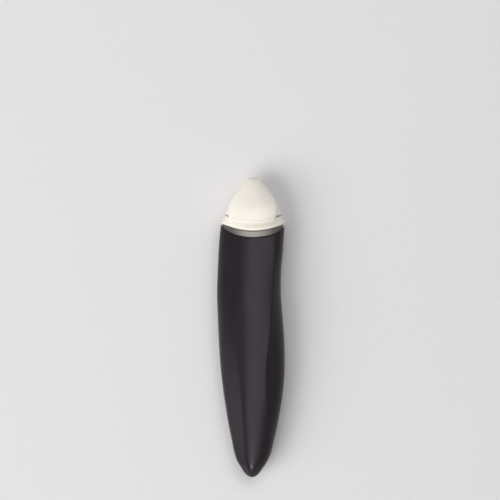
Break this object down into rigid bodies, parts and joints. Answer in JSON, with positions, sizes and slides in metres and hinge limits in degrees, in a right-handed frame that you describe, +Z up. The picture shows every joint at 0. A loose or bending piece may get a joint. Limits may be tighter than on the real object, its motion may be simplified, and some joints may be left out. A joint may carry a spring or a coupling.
{
  "type": "chalk wheel marker",
  "caption": "Pen-shaped sewing marker: a sculpted grip holds a pull-out powder cartridge, and a toothed wheel in its white nose rolls out a dotted chalk line.",
  "frame": {"origin": "middle of the marker on the surface that it lies on, back down", "axes": "+Y along the pen to the wheel, +Z up out of the front face, +X to the right seen from the front"},
  "size_m": [0.0244, 0.107, 0.0174],
  "materials": {
    "grip_plastic": "satin aubergine black",
    "head_plastic": "warm white, glossy",
    "neck_plastic": "grey beige, matt",
    "inner_plastic": "grey, matt",
    "tube_plastic": "milky",
    "seal_rubber": "matt",
    "chalk": "powder",
    "gasket_foam": "fine foam",
    "axle_steel": "ground",
    "felt": "felt",
    "wheel_steel": "stamped"
  },
  "bodies": {
    "grip": {"grip_front_shell": "grip_plastic", "grip_back_shell": "grip_plastic", "socket_sleeve": "inner_plastic"},
    "cartridge": {"cartridge_tube": "tube_plastic", "tube_end_plug": "inner_plastic", "cartridge_collar": "head_plastic", "neck_ring": "neck_plastic", "seal_ring": "seal_rubber", "chalk_charge": "chalk", "nose_gasket": "gasket_foam"},
    "nose": {"nose_front_cheek": "head_plastic", "nose_back_cheek": "head_plastic", "powder_throat": "inner_plastic", "wheel_axle": "axle_steel", "felt_washer_front": "felt", "felt_washer_back": "felt"},
    "wheel": {"marking_wheel": "wheel_steel"}
  },
  "joints": [
    {"name": "cartridge_slide", "type": "slide", "parent": "grip", "child": "cartridge", "axis": [0, 1, 0], "range_m": [0, 0.06]},
    {"name": "nose_slide", "type": "slide", "parent": "cartridge", "child": "nose", "axis": [0, 1, 0], "range_m": [0, 0.007]},
    {"name": "wheel_spin", "type": "hinge", "parent": "nose", "child": "wheel", "pos_m": [0.00083, 0.0499, 0.008], "axis": [0, 0, 1], "continuous": true}
  ]
}
